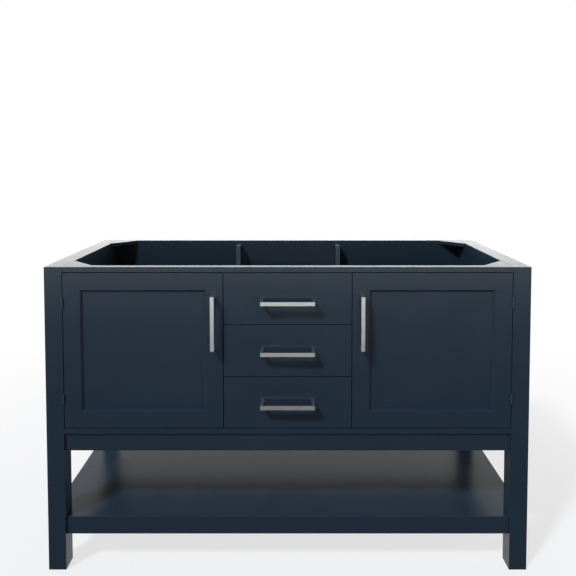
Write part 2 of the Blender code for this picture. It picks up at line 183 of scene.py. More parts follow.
def make_paint(name, grain, dark=PAINT_DARK, light=PAINT_LIGHT):
    """Sprayed semi-gloss navy paint; the wood's grain telegraphs faintly through it."""
    material, tree, shader, place = start_material(name)
    cloud = noise(tree, place, 5.0, 3.0)
    tint = colour_ramp(tree, cloud, [(0.30, dark), (0.70, light)])
    tree.links.new(tint, shader.inputs["Base Color"])
    haze = noise(tree, place, 14.0, 3.0, 0.5)
    tree.links.new(value_range(tree, haze, 0.225, 0.265), shader.inputs["Roughness"])
    peel = noise(tree, place, 620.0, 1.5)
    fibres = noise(tree, stretch(tree, place, grain), 260.0, 2.0, 0.5)
    add_bump(tree, shader, [
        (fibres, 0.02, 0.12 * MM),
        (peel, 0.02, 0.06 * MM),
    ])
    shader.inputs["IOR"].default_value = 1.5
    return material


def make_nickel(name, brushing):
    """Satin nickel with fine brush strokes."""
    material, tree, shader, place = start_material(name)
    strokes = noise(tree, stretch(tree, place, brushing), 900.0, 3.0, 0.65)
    cloud = noise(tree, place, 45.0, 2.0)
    tint = colour_ramp(tree, strokes, [(0.25, (0.87, 0.865, 0.855)), (0.75, (0.96, 0.955, 0.95))])
    tree.links.new(tint, shader.inputs["Base Color"])
    blend = tree.nodes.new("ShaderNodeMath")
    blend.operation = "MULTIPLY_ADD"
    blend.inputs[1].default_value = 0.5
    tree.links.new(value_range(tree, strokes, 0.0, 0.12), blend.inputs[0])
    tree.links.new(value_range(tree, cloud, 0.30, 0.35), blend.inputs[2])
    tree.links.new(blend.outputs["Value"], shader.inputs["Roughness"])
    shader.inputs["Metallic"].default_value = 1.0
    add_bump(tree, shader, [(strokes, 0.10, 0.02 * MM)])
    return material


def make_zinc(name):
    """Bright zinc plate with the slight bloom and rolling marks of sheet steel."""
    material, tree, shader, place = start_material(name)
    bloom = noise(tree, place, 70.0, 4.0, 0.6)
    rolled = noise(tree, stretch(tree, place, (8.0, 0.5, 8.0)), 160.0, 2.0)
    tint = colour_ramp(tree, bloom, [(0.30, (0.50, 0.51, 0.53)), (0.70, (0.64, 0.65, 0.65))])
    tree.links.new(tint, shader.inputs["Base Color"])
    tree.links.new(value_range(tree, rolled, 0.28, 0.46), shader.inputs["Roughness"])
    shader.inputs["Metallic"].default_value = 1.0
    add_bump(tree, shader, [(rolled, 0.08, 0.03 * MM)])
    return material


def make_dark_steel(name):
    """Hinge steel with a blue paint that is a little lighter than the boards'."""
    material, tree, shader, place = start_material(name)
    cloud = noise(tree, place, 300.0, 3.0)
    tint = colour_ramp(tree, cloud, [(0.30, (0.030, 0.052, 0.068)), (0.70, (0.042, 0.070, 0.090))])
    tree.links.new(tint, shader.inputs["Base Color"])
    tree.links.new(value_range(tree, cloud, 0.24, 0.36), shader.inputs["Roughness"])
    add_bump(tree, shader, [(cloud, 0.10, 0.02 * MM)])
    return material


BIRCH = [                         # tones of the grain's figure
    (0.28, (0.33, 0.215, 0.120)),
    (0.45, (0.42, 0.290, 0.170)),
    (0.60, (0.47, 0.335, 0.205)),
    (0.78, (0.40, 0.270, 0.155)),
]


def make_birch(name, grain):
    """Lacquered birch face veneer with flowing grain and short pores."""
    material, tree, shader, place = start_material(name)
    drift = noise(tree, place, 4.0, 2.0)
    along = stretch(tree, place, grain)
    figure = noise(tree, along, 90.0, 5.0, 0.62)
    pores = noise(tree, along, 700.0, 2.0, 0.5)
    colour = colour_ramp(tree, figure, BIRCH)
    mix = tree.nodes.new("ShaderNodeMix")
    mix.data_type = "RGBA"
    mix.blend_type = "MULTIPLY"
    mix.inputs["Factor"].default_value = 1.0
    shade = colour_ramp(tree, drift, [(0.3, (0.90, 0.88, 0.86)), (0.7, (1.0, 1.0, 1.0))])
    tree.links.new(colour, mix.inputs["A"])
    tree.links.new(shade, mix.inputs["B"])
    tree.links.new(mix.outputs["Result"], shader.inputs["Base Color"])
    tree.links.new(value_range(tree, pores, 0.42, 0.58), shader.inputs["Roughness"])
    add_bump(tree, shader, [(figure, 0.12, 0.08 * MM), (pores, 0.18, 0.05 * MM)])
    return material


def make_ply_edge(name, across):
    """The cut edge of birch plywood: thin plies in alternating tone."""
    material, tree, shader, place = start_material(name)
    wave = tree.nodes.new("ShaderNodeTexWave")
    wave.wave_type = "BANDS"
    wave.bands_direction = across
    wave.inputs["Scale"].default_value = 130.0
    wave.inputs["Distortion"].default_value = 0.25
    wave.inputs["Detail"].default_value = 1.0
    tree.links.new(place, wave.inputs["Vector"])
    stops = [(0.35, (0.45, 0.31, 0.185)), (0.62, (0.27, 0.165, 0.09))]
    tree.links.new(colour_ramp(tree, wave.outputs["Fac"], stops), shader.inputs["Base Color"])
    fuzz = noise(tree, place, 900.0, 2.0)
    tree.links.new(value_range(tree, fuzz, 0.55, 0.70), shader.inputs["Roughness"])
    add_bump(tree, shader, [(wave.outputs["Fac"], 0.2, 0.08 * MM), (fuzz, 0.25, 0.08 * MM)])
    return material


def make_plastic(name, colour, roughness):
    """Moulded nylon or silicone with a faint mould texture."""
    material, tree, shader, place = start_material(name)
    cloud = noise(tree, place, 180.0, 3.0)
    darker = tuple(channel * 0.9 for channel in colour)
    tint = colour_ramp(tree, cloud, [(0.3, darker), (0.7, colour)])
    tree.links.new(tint, shader.inputs["Base Color"])
    spread = value_range(tree, cloud, roughness - 0.05, roughness + 0.05)
    tree.links.new(spread, shader.inputs["Roughness"])
    add_bump(tree, shader, [(cloud, 0.1, 0.03 * MM)])
    return material


# Stretching the noise: a small factor draws it out along that axis
PAINTS = {
    "X": make_paint("navy_paint_across", (0.06, 1.0, 1.0)),
    "Y": make_paint("navy_paint_deep", (1.0, 0.06, 1.0)),
    "Z": make_paint("navy_paint_upright", (1.0, 1.0, 0.06)),
}
# Painted reflection: lighter paint for the partitions' narrow edges and paler paint for their tops, standing in
# for the sheen these edges catch
PAINTED_SHEEN_EDGES = make_paint("blue_edge_band", (1.0, 1.0, 0.06), dark=(0.066, 0.102, 0.125),
                       light=(0.078, 0.114, 0.138))
PAINTED_HIGHLIGHT_TOPS = make_paint("pale_edge_band", (1.0, 0.06, 1.0), dark=(0.20, 0.235, 0.262),
                      light=(0.23, 0.265, 0.292))
NICKEL = make_nickel("satin_nickel", (0.03, 1.0, 1.0))
ZINC = make_zinc("zinc_plate")
DARK_STEEL = make_dark_steel("dark_hinge_steel")
BIRCH_ACROSS = make_birch("birch_across", (0.05, 1.0, 1.0))
BIRCH_DEEP = make_birch("birch_deep", (1.0, 0.05, 1.0))
PLY_EDGE_X = make_ply_edge("birch_edge_side", "X")
PLY_EDGE_Y = make_ply_edge("birch_edge_front", "Y")
NYLON = make_plastic("white_nylon", (0.78, 0.77, 0.73), 0.38)
SILICONE = make_plastic("grey_silicone", (0.42, 0.44, 0.45), 0.30)


# Mesh helpers

def new_piece(name, mesh_bm, materials, body):
    """A finished mesh object that rides on a body."""
    mesh = bpy.data.meshes.new(name)
    mesh_bm.to_mesh(mesh)
    mesh_bm.free()
    for material in materials:
        mesh.materials.append(material)
    piece = bpy.data.objects.new(name, mesh)
    bpy.context.scene.collection.objects.link(piece)
    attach(piece, body)
    return piece


def soften(piece, width, segments=EDGE_SEGMENTS):
    """Round a piece's sharp edges and shade it so that its flats stay flat."""
    piece.data.shade_smooth()
    bevel = piece.modifiers.new("Edges", "BEVEL")
    bevel.width = width
    bevel.segments = segments
    bevel.limit_method = "ANGLE"
    bevel.angle_limit = BEVEL_ANGLE
    bevel.harden_normals = True
    bevel.miter_outer = "MITER_ARC"


def body_of_node(node):
    for body, members in frame["record"]["behaviour"]["bodies"].items():
        if node in members:
            return body
    raise ValueError(node)


def clean_copy(node):
    """A node's mesh built afresh, with its split corners merged and its flats made whole."""
    source = frame["nodes"][node].data
    mesh_bm = bmesh.new()
    corners = [mesh_bm.verts.new(vertex.co) for vertex in source.vertices]
    for polygon in source.polygons:
        mesh_bm.faces.new([corners[index] for index in polygon.vertices])
    bmesh.ops.remove_doubles(mesh_bm, verts=mesh_bm.verts, dist=MERGE)
    bmesh.ops.dissolve_limit(mesh_bm, angle_limit=FLAT_ANGLE, verts=mesh_bm.verts,
                             edges=mesh_bm.edges)
    bmesh.ops.recalc_face_normals(mesh_bm, faces=mesh_bm.faces)
    return mesh_bm


def refine_node(node, material, width, suffix):
    """Replace a node with a soft-edged copy of itself."""
    piece = new_piece(f"{node}_{suffix}", clean_copy(node), [material], body_of_node(node))
    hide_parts(node)
    soften(piece, width)


def round_corner(previous, corner, following, radius, steps):
    """Points of a curve that rounds off an outline's corner."""
    back = (previous - corner).normalized()
    ahead = (following - corner).normalized()
    half = back.angle(ahead) / 2
    reach = min(radius / math.tan(half), 0.45 * (previous - corner).length,
                0.45 * (following - corner).length)
    start, end = corner + back * reach, corner + ahead * reach
    points = []
    for step in range(steps + 1):
        share = step / steps
        first = start.lerp(corner, share)
        second = corner.lerp(end, share)
        points.append(first.lerp(second, share))
    return points


def rounded_outline(corners, radii, steps=3):
    """An outline with each corner rounded; a radius of zero keeps it sharp."""
    points = []
    count = len(corners)
    for index, (corner, radius) in enumerate(zip(corners, radii)):
        corner = Vector(corner)
        if radius == 0:
            points.append(corner)
            continue
        previous = Vector(corners[index - 1])
        following = Vector(corners[(index + 1) % count])
        points.extend(round_corner(previous, corner, following, radius, steps))
    return points


def box_bm(low, high):
    mesh_bm = bmesh.new()
    low, high = Vector(low), Vector(high)
    bmesh.ops.create_cube(mesh_bm, size=1.0)
    bmesh.ops.scale(mesh_bm, vec=high - low, verts=mesh_bm.verts)
    bmesh.ops.translate(mesh_bm, vec=(low + high) / 2, verts=mesh_bm.verts)
    return mesh_bm


def turned_bm(profile, segments, origin, axis):
    """Turn a profile of (radius, height) pairs about an axis through origin."""
    mesh_bm = bmesh.new()
    rows = []
    for radius, height in profile:
        if radius == 0:
            rows.append([mesh_bm.verts.new((0, 0, height))])
            continue
        row = []
        for index in range(segments):
            angle = 2 * math.pi * index / segments
            row.append(mesh_bm.verts.new((radius * math.cos(angle), radius * math.sin(angle), height)))
        rows.append(row)
    for lower, upper in zip(rows, rows[1:]):
        for index in range(segments):
            after = (index + 1) % segments
            ring = [lower[index % len(lower)], lower[after % len(lower)],
                    upper[after % len(upper)], upper[index % len(upper)]]
            corners = list(dict.fromkeys(ring))
            if len(corners) > 2:
                mesh_bm.faces.new(corners)
    turn = Z_AXIS.rotation_difference(Vector(axis)).to_matrix().to_4x4()
    bmesh.ops.transform(mesh_bm, matrix=Matrix.Translation(origin) @ turn, verts=mesh_bm.verts)
    bmesh.ops.recalc_face_normals(mesh_bm, faces=mesh_bm.faces)
    for face in mesh_bm.faces:
        face.smooth = True
    return mesh_bm


def merge_into(target, other):
    """Add another bmesh to the first one and free it."""
    scratch = bpy.data.meshes.new("scratch")
    other.to_mesh(scratch)
    other.free()
    target.from_mesh(scratch)
    bpy.data.meshes.remove(scratch)


# Painted boards

GRAIN_OF = {
    "X": ["cabinet_floor", "top_front_rail", "bottom_front_rail", "front_apron",
          "front_left_brace", "front_right_brace", "rear_left_brace", "rear_right_brace"],
    "Y": ["left_side_panel", "right_side_panel"],
    "Z": ["front_left_post", "front_right_post", "rear_left_post", "rear_right_post"],
}


def make_cabinet_boards():
    for grain, nodes in GRAIN_OF.items():
        for node in nodes:
            refine_node(node, PAINTS[grain], FRAME_EDGE, "painted")


def make_back_panel():
    """The back panel, laid out in cells round its two pipe cut-outs."""
    source = frame["nodes"]["back_panel"].data
    cuts_x = sorted({round(vertex.co.x, 4) for vertex in source.vertices})
    cuts_z = sorted({round(vertex.co.z, 4) for vertex in source.vertices})
    low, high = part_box("back_panel")
    holes = [(1, 1), (3, 1)]      # column and row of each cut-out
    cells = [(column, row) for column in range(len(cuts_x) - 1) for row in range(len(cuts_z) - 1)]
    solid = [cell for cell in cells if cell not in holes]
    mesh_bm = bmesh.new()
    points = {}
    for column, x in enumerate(cuts_x):
        for row, z in enumerate(cuts_z):
            points[column, row] = [mesh_bm.verts.new((x, y, z)) for y in (low.y, high.y)]
    for column, row in solid:
        corners = [(column, row), (column + 1, row), (column + 1, row + 1), (column, row + 1)]
        mesh_bm.faces.new([points[corner][0] for corner in corners])
        mesh_bm.faces.new([points[corner][1] for corner in reversed(corners)])
        neighbours = [(column, row - 1), (column + 1, row), (column, row + 1), (column - 1, row)]
        for index, neighbour in enumerate(neighbours):
            if neighbour not in solid:
                start, end = points[corners[index]], points[corners[(index + 1) % 4]]
                mesh_bm.faces.new((start[0], start[1], end[1], end[0]))
    bmesh.ops.recalc_face_normals(mesh_bm, faces=mesh_bm.faces)
    piece = new_piece("back_panel_painted", mesh_bm, [PAINTS["X"]], "cabinet")
    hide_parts("back_panel")
    soften(piece, FRAME_EDGE)


def notched_plan(half, wide, ends, notches):
    """Plan of the shelf, with its corners cut away for the legs."""
    (front, rear), (near, far) = ends, notches
    return [(-half, front), (half, front), (half, near), (wide, near), (wide, far), (half, far),
            (half, rear), (-half, rear), (-half, far), (-wide, far), (-wide, near), (-half, near)]


def make_shelf():
    """The shelf's board and rails, painted together so that their joints don't show."""
    board_low, board_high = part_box("shelf_board")
    front_low, front_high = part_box("shelf_front_rail")
    rear_low, rear_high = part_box("shelf_rear_rail")
    side_low, side_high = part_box("shelf_right_rail")
    web = 4 * MM                  # what stays between the pocket and a leg's notch
    outer = notched_plan(front_high.x, side_high.x, (front_low.y, rear_high.y),
                         (side_low.y, side_high.y))
    inner = notched_plan(front_high.x - web, side_low.x, (front_high.y, rear_low.y),
                         (side_low.y + web, side_high.y - web))
    mesh_bm = bmesh.new()
    levels = [(outer, board_high.z), (outer, front_low.z), (inner, front_low.z), (inner, board_low.z)]
    rings = []
    for plan, height in levels:
        rings.append([mesh_bm.verts.new((x, y, height)) for x, y in plan])
    for upper, lower in zip(rings, rings[1:]):
        for index in range(len(upper)):
            after = (index + 1) % len(upper)
            mesh_bm.faces.new((upper[index], upper[after], lower[after], lower[index]))
    mesh_bm.faces.new(rings[0])
    mesh_bm.faces.new(rings[-1])
    bmesh.ops.recalc_face_normals(mesh_bm, faces=mesh_bm.faces)
    piece = new_piece("shelf_painted", mesh_bm, [PAINTS["X"]], "cabinet")
    rails = [f"shelf_{place}_rail" for place in ("front", "rear", "left", "right")]
    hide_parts("shelf_board", *rails)
    soften(piece, SHELF_EDGE)


def make_partitions():
    """The partitions' faces are painted; their narrow edges carry painted reflection: lighter paint on the edges
    and paler paint on the tops.
    """
    materials = [PAINTS["Z"], PAINTED_SHEEN_EDGES, PAINTED_HIGHLIGHT_TOPS]
    for side in SIDES:
        node = f"{side}_partition"
        mesh_bm = clean_copy(node)
        for face in mesh_bm.faces:
            # narrow edges get the lighter painted sheen, and their tops the paler painted highlight
            if abs(face.normal.x) < 0.5:
                face.material_index = 2 if face.normal.z > 0.5 else 1
        piece = new_piece(f"{node}_painted", mesh_bm, materials, "cabinet")
        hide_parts(node)
        soften(piece, PARTITION_EDGE)


def make_drawer_fronts():
    for level in LEVELS:
        refine_node(f"{level}_drawer_front", PAINTS["X"], DOOR_EDGE, "painted")


# Doors

STILE = 48.5 * MM                 # width of the door frame's flat face
STICKING = 6 * MM                 # the slope inside it goes this far in and back
QUIRK = 0.2 * MM                  # the step between that slope and the panel's groove
GROOVE = 8 * MM                   # depth of the groove that holds the panel
GROOVE_BACK = 13.1 * MM           # the groove's rear side, from the door's face


def door_section(thickness):
    """The door frame's section, with its edges rounded as paint leaves them."""
    inner = STILE + STICKING
    groove_end = inner - GROOVE
    corners = [
        (0.0, 0.0), (STILE, 0.0), (inner, STICKING), (inner, STICKING + QUIRK),
        (groove_end, STICKING + QUIRK), (groove_end, GROOVE_BACK), (inner, GROOVE_BACK),
        (inner, thickness), (0.0, thickness),
    ]
    radii = [DOOR_EDGE, STICKING_EDGE, LIP_EDGE, 0, 0, 0, LIP_EDGE, DOOR_EDGE, DOOR_EDGE]
    return rounded_outline(corners, radii)


def ring_bm(low, high, section):
    """Sweep a section round the front of a box with mitred corners."""
    mesh_bm = bmesh.new()
    loops = []
    for side_x, side_z in ((0, 0), (1, 0), (1, 1), (0, 1)):
        loop = []
        for inward, depth in section:
            x = high.x - inward if side_x else low.x + inward
            z = high.z - inward if side_z else low.z + inward
            loop.append(mesh_bm.verts.new((x, low.y + depth, z)))
        loops.append(loop)
    for index, loop in enumerate(loops):
        following = loops[(index + 1) % len(loops)]
        for point in range(len(section)):
            after = (point + 1) % len(section)
            mesh_bm.faces.new((loop[point], following[point], following[after], loop[after]))
    bmesh.ops.recalc_face_normals(mesh_bm, faces=mesh_bm.faces)
    return mesh_bm


def shade_rounded(piece):
    """Smooth shading with sharp edges kept, and flats weighted over fillets."""
    piece.data.shade_smooth()
    piece.data.set_sharp_from_angle(angle=SHARP_ANGLE)
    weighted = piece.modifiers.new("Flats", "WEIGHTED_NORMAL")
    weighted.keep_sharp = True


def make_doors():
    for side in SIDES:
        body = f"{side}_door"
        low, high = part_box(f"{side}_door_frame")
        mesh_bm = ring_bm(low, high, door_section(high.y - low.y))
        piece = new_piece(f"{side}_door_frame_painted", mesh_bm, [PAINTS["Z"]], body)
        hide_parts(f"{side}_door_frame")
        shade_rounded(piece)
        refine_node(f"{side}_door_panel", PAINTS["Z"], THIN_EDGE, "painted")


# Pulls and their screws

def cross_recess_head(radius, height, recess, segments=28):
    """A pan head that faces +Z from the origin, with a cross recess."""
    mesh_bm = bmesh.new()
    rows = []
    profile = [(radius, 0.0), (radius, 0.35 * height), (0.93 * radius, 0.70 * height),
               (0.78 * radius, 0.92 * height), (0.62 * radius, height)]
    for ring_radius, level in profile:
        row = []
        for index in range(segments):
            angle = 2 * math.pi * index / segments
            point = (ring_radius * math.cos(angle), ring_radius * math.sin(angle), level)
            row.append(mesh_bm.verts.new(point))
        rows.append(row)
    for lower, upper in zip(rows, rows[1:]):
        for index in range(segments):
            after = (index + 1) % segments
            mesh_bm.faces.new((lower[index], lower[after], upper[after], upper[index]))
    mesh_bm.faces.new(list(reversed(rows[0])))
    long, short = 0.42 * radius, 0.11 * radius
    outline = []
    for quarter in range(4):
        turn = Matrix.Rotation(quarter * math.pi / 2, 2)
        for point in ((long, -short), (long, short), (short, short)):
            outline.append(turn @ Vector(point))
    mouth = [mesh_bm.verts.new((point.x, point.y, height)) for point in outline]
    floor = [mesh_bm.verts.new((point.x * 0.6, point.y * 0.6, height - recess)) for point in outline]
    count = len(outline)
    rim = []
    for index in range(count):
        after = (index + 1) % count
        mesh_bm.faces.new((mouth[after], mouth[index], floor[index], floor[after]))
        rim.append(mesh_bm.edges.get((mouth[index], mouth[after])))
    mesh_bm.faces.new(floor)
    edge = rows[-1]
    top = [mesh_bm.edges.get((edge[i], edge[(i + 1) % segments])) for i in range(segments)]
    bmesh.ops.triangle_fill(mesh_bm, use_beauty=True, use_dissolve=False, edges=rim + top,
                            normal=(0, 0, 1))
    bmesh.ops.recalc_face_normals(mesh_bm, faces=mesh_bm.faces)
    for face in mesh_bm.faces:
        face.smooth = True
    return mesh_bm


def make_screws(name, places, facing, body, material, radius=4.0 * MM, height=2.2 * MM):
    """Screw heads at several places, all facing one way, as one piece."""
    turn = Z_AXIS.rotation_difference(Vector(facing)).to_matrix().to_4x4()
    mesh_bm = bmesh.new()
    for place in places:
        head = cross_recess_head(radius, height, 0.75 * height)
        bmesh.ops.transform(head, matrix=Matrix.Translation(place) @ turn, verts=head.verts)
        merge_into(mesh_bm, head)
    piece = new_piece(name, mesh_bm, [material], body)
    piece.data.set_sharp_from_angle(angle=TURNED_ANGLE)


PULL_LEG_SPACING = 144.4 * MM
SCREW_BELOW_TOP = 8 * MM          # pull screws stay this far under a box's edge


def make_pulls():
    for side in SIDES:
        node = f"{side}_door_pull"
        refine_node(node, NICKEL, PULL_EDGE, "brushed")
        low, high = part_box(node)
        middle = (low + high) / 2
        back_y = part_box(f"{side}_door_frame")[1].y + TOUCH
        places = [(middle.x, back_y, middle.z + end * PULL_LEG_SPACING / 2) for end in (-1, 1)]
        make_screws(f"{side}_door_pull_screws", places, Y_AXIS, f"{side}_door", ZINC)
    for level in LEVELS:
        node = f"{level}_drawer_pull"
        refine_node(node, NICKEL, PULL_EDGE, "brushed")
        low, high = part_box(node)
        middle = (low + high) / 2
        inside_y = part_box(f"{level}_drawer_box")[0].y + BOX_WALL + TOUCH
        height = min(middle.z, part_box(f"{level}_drawer_box")[1].z - SCREW_BELOW_TOP)
        places = [(end * PULL_LEG_SPACING / 2, inside_y, height) for end in (-1, 1)]
        make_screws(f"{level}_drawer_pull_screws", places, Y_AXIS, f"{level}_drawer",
                    ZINC)


# Hinges

BARREL_RADIUS = 2.6 * MM
BARREL_CHAMFER = 0.25 * MM
KNUCKLE_GAP = 0.12 * MM           # at each end of a knuckle
NECK_START = 0.6                  # share of the barrel's radius
LEAF_START = 0.3 * MM             # behind the barrel
LEAF_SPAN = (0.15 * MM, 0.70 * MM)    # a leaf's faces, counted from the pin's axis
LEAF_SCREW_INSET = 7 * MM
LEAF_SCREW_SHARES = (0.22, 0.5, 0.78)     # of the leaf's height


def joint_of(side):
    """The joint that a side's door turns on."""
    return next(joint for joint in frame["joints"] if joint["child"] == f"{side}_door")


def barrel_profile(bottom, top):
    """A knuckle's profile with small chamfers at its ends."""
    face = BARREL_RADIUS - BARREL_CHAMFER
    return [
        (0, bottom), (face, bottom), (BARREL_RADIUS, bottom + BARREL_CHAMFER),
        (BARREL_RADIUS, top - BARREL_CHAMFER), (face, top), (0, top),
    ]


def make_hinge_half(node, side, knuckles, towards, body):
    """A leaf with its knuckles: knuckles are (bottom, top) shares of the height.

    The leaf lies on the side of the pin that the sign towards points to.
    """
    low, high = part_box(node)
    height = high.z - low.z
    axis_x, axis_y = joint_of(side)["pos_m"][:2]
    across = sorted(axis_x + towards * reach for reach in LEAF_SPAN)
    leaf_y = axis_y + BARREL_RADIUS + LEAF_START
    mesh_bm = box_bm((across[0], leaf_y, low.z), (across[1], high.y, high.z))
    for start, end in knuckles:
        bottom = low.z + start * height + KNUCKLE_GAP
        top = low.z + end * height - KNUCKLE_GAP
        neck = box_bm((across[0], axis_y + NECK_START * BARREL_RADIUS, bottom),
                      (across[1], leaf_y, top))
        merge_into(mesh_bm, neck)
        origin = (axis_x, axis_y, 0)
        merge_into(mesh_bm, turned_bm(barrel_profile(bottom, top), ROUND_SEGMENTS, origin, Z_AXIS))
    piece = new_piece(f"{node}_finished", mesh_bm, [DARK_STEEL], body)
    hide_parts(node)
    piece.data.shade_smooth()
    piece.data.set_sharp_from_angle(angle=SHARP_ANGLE)


def make_leaf_screws(name, side, sign):
    """Flat screw heads that show on the door's leaf when the door is open."""
    low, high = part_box(f"{name}_door_leaf")
    face_x = joint_of(side)["pos_m"][0] - sign * (LEAF_SPAN[0] - 0.01 * MM)
    places = []
    for share in LEAF_SCREW_SHARES:
        places.append((face_x, high.y - LEAF_SCREW_INSET, low.z + share * (high.z - low.z)))
    make_screws(f"{name}_door_leaf_screws", places, (sign, 0, 0), f"{side}_door",
                ZINC, radius=2.2 * MM, height=0.10 * MM)


def make_hinges():
    """Two hinges for each door: outer knuckles on the post, the middle one on the door."""
    outer = [(0, 1 / 3), (2 / 3, 1)]
    middle = [(1 / 3, 2 / 3)]
    for side, sign in SIDES.items():
        for level in ("upper", "lower"):
            name = f"{side}_{level}_hinge"
            make_hinge_half(f"{name}_frame_leaf", side, outer, sign, "cabinet")
            make_hinge_half(f"{name}_door_leaf", side, middle, -sign, f"{side}_door")
            make_leaf_screws(name, side, sign)


# Drawer boxes

FINGER_HEIGHT = 12 * MM
FINGER_GAP = 0.1 * MM
FRONT_SCREW_X = 118 * MM          # from the cabinet's middle
FRONT_SCREW_SHARES = (0.3, 0.8)   # of the box's height


def finger_outline(low, high, axis, first_is_long):
    """Outline of a board whose ends are cut into fingers, in its axis and Z.

    Its ends alternate between full length and a step back by the wall's
    thickness, from the bottom up.
    """
    height = high.z - low.z
    count = max(3, round(height / FINGER_HEIGHT) // 2 * 2 + 1)
    pitch = height / count
    steps = []
    for index in range(count):
        is_long = (index % 2 == 0) == first_is_long
        inset = 0.0 if is_long else BOX_WALL + FINGER_GAP
        grow = -FINGER_GAP if is_long else FINGER_GAP
        bottom = low.z + index * pitch - (grow if index else 0)
        top = low.z + (index + 1) * pitch + (grow if index < count - 1 else 0)
        steps.append((inset, bottom, top))
    outline = []
    for inset, bottom, top in steps:
        outline += [(high[axis] - inset, bottom), (high[axis] - inset, top)]
    for inset, bottom, top in reversed(steps):
        outline += [(low[axis] + inset, top), (low[axis] + inset, bottom)]
    return outline


def finger_board(low, high, along, first_is_long):
    """A drawer box wall that runs along X or Y, with fingers at its ends."""
    axis = "XY".index(along)
    other = 1 - axis
    mesh_bm = bmesh.new()
    near = []
    for position, z in finger_outline(low, high, axis, first_is_long):
        point = Vector((0, 0, z))
        point[axis] = position
        point[other] = low[other]
        near.append(mesh_bm.verts.new(point))
    face = mesh_bm.faces.new(near)
    swept = bmesh.ops.extrude_face_region(mesh_bm, geom=[face])
    moved = [item for item in swept["geom"] if isinstance(item, bmesh.types.BMVert)]
    across = Vector((0, 0, 0))
    across[other] = high[other] - low[other]
    bmesh.ops.translate(mesh_bm, vec=across, verts=moved)
    bmesh.ops.recalc_face_normals(mesh_bm, faces=mesh_bm.faces)
    for face in mesh_bm.faces:
        face.material_index = 0 if abs(face.normal[other]) > 0.5 else 1
    return mesh_bm


def make_drawer_boxes():
    for level in LEVELS:
        body = f"{level}_drawer"
        low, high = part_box(f"{level}_drawer_box")
        walls = {
            "left": (low, Vector((low.x + BOX_WALL, high.y, high.z)), "Y"),
            "right": (Vector((high.x - BOX_WALL, low.y, low.z)), high, "Y"),
            "front": (low, Vector((high.x, low.y + BOX_WALL, high.z)), "X"),
            "back": (Vector((low.x, high.y - BOX_WALL, low.z)), high, "X"),
        }
        for part, (start, end, along) in walls.items():
            is_side = along == "Y"
            materials = [BIRCH_DEEP, PLY_EDGE_X] if is_side else [BIRCH_ACROSS, PLY_EDGE_Y]
            board = finger_board(start, end, along, first_is_long=not is_side)
            name = f"{level}_drawer_box_{part}"
            piece = new_piece(name, board, materials, body)
            soften(piece, BOX_EDGE, 2)
        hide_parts(f"{level}_drawer_box")
        refine_node(f"{level}_drawer_bottom", BIRCH_ACROSS, THIN_EDGE, "veneered")
        places = []
        for sign in (-1, 1):
            for share in FRONT_SCREW_SHARES:
                height = low.z + share * (high.z - low.z)
                places.append((sign * FRONT_SCREW_X, low.y + BOX_WALL + TOUCH, height))
        make_screws(f"{level}_drawer_front_screws", places, Y_AXIS, body, ZINC,
                    radius=3.6 * MM, height=2.0 * MM)


# Slides

ROLLER_RADIUS = 13.2 * MM
ROLLER_HALF = 3.0 * MM
ROLLER_X = 167.4 * MM             # from the cabinet's middle
ROLLER_INSET = 18 * MM            # behind the channel's front end
WEB_FACE = 1.25 * MM              # from the face a slide is fixed by to its screws
CHANNEL_SHARES = (0.18, 0.5, 0.82)    # where its screws are, along its length
RUNNER_SHARES = (0.12, 0.5, 0.88)


def roller_bm(centre, facing):
    """A nylon wheel with a hub and a bevelled rim."""
    half = ROLLER_HALF
    profile = [
        (0, -half), (3.5 * MM, -half), (4.2 * MM, -0.6 * half), (10.0 * MM, -0.6 * half),
        (11.0 * MM, -half), (12.6 * MM, -half), (ROLLER_RADIUS, -0.6 * half),
        (ROLLER_RADIUS, 0.6 * half), (12.6 * MM, half), (11.0 * MM, half),
        (10.0 * MM, 0.6 * half), (4.2 * MM, 0.6 * half), (3.5 * MM, half), (0, half),
    ]
    return turned_bm(profile, ROUND_SEGMENTS, centre, facing)


def make_web_screws(name, x, start, end, height, shares, facing, body):
    """Screw heads along a slide's web, at shares of its length from start to end."""
    places = [(x, start + share * (end - start), height) for share in shares]
    make_screws(name, places, facing, body, ZINC, radius=3.4 * MM, height=1.4 * MM)


def make_slide(level, side, sign):
    """A fixed channel with its roller, and the runner on the drawer."""
    channel = f"{level}_{side}_slide_channel"
    runner = f"{level}_drawer_{side}_runner"
    refine_node(channel, ZINC, THIN_EDGE, "plated")
    refine_node(runner, ZINC, THIN_EDGE, "plated")
    low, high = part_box(channel)
    runner_low, runner_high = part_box(runner)
    middle_z = (low.z + high.z) / 2
    centre = (sign * ROLLER_X, low.y + ROLLER_INSET, middle_z)
    wheel = new_piece(f"{level}_{side}_roller", roller_bm(centre, X_AXIS), [NYLON],
                      "cabinet")
    wheel.data.set_sharp_from_angle(angle=TURNED_ANGLE)
    web_x = (low.x if sign < 0 else high.x) - sign * WEB_FACE
    make_web_screws(f"{channel}_screws", web_x, low.y, high.y, middle_z, CHANNEL_SHARES,
                    (-sign, 0, 0), "cabinet")
    web_x = (runner_high.x if sign < 0 else runner_low.x) + sign * WEB_FACE
    make_web_screws(f"{runner}_screws", web_x, runner_low.y, runner_high.y, middle_z,
                    RUNNER_SHARES, (sign, 0, 0), f"{level}_drawer")


def make_slides():
    for level in LEVELS:
        for side, sign in SIDES.items():
            make_slide(level, side, sign)


# Small things

